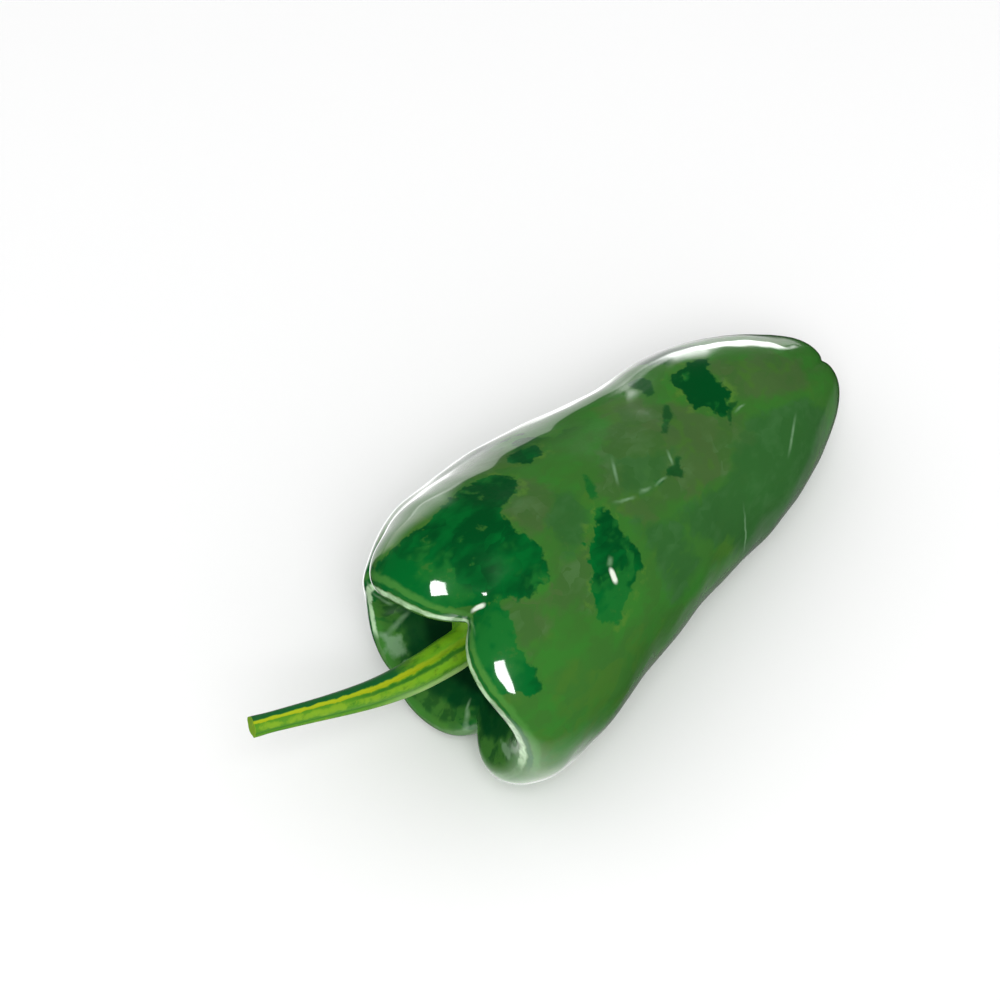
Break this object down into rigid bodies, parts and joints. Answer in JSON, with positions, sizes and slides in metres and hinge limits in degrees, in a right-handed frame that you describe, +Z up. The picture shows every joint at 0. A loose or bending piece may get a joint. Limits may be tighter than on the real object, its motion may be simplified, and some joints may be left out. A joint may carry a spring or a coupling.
{
  "type": "poblano pepper",
  "caption": "Fresh green poblano pepper lying on its side: lobed glossy pod with a sunken shoulder, calyx and curved cut stem. Food prop.",
  "frame": {"origin": "on the ground under the centre of the bounding box of the whole pepper", "axes": "+X along the pod from the stem to the tip, +Z up as it lies, +Y across it"},
  "size_m": [0.1707, 0.0694, 0.0624],
  "materials": {
    "pod_skin": "dark green waxy fruit skin, glossy, with lighter mottling",
    "stem_skin": "light green ribbed plant stem, satin"
  },
  "bodies": {
    "root": {"pod": "pod_skin", "stem": "stem_skin"}
  },
  "joints": []
}
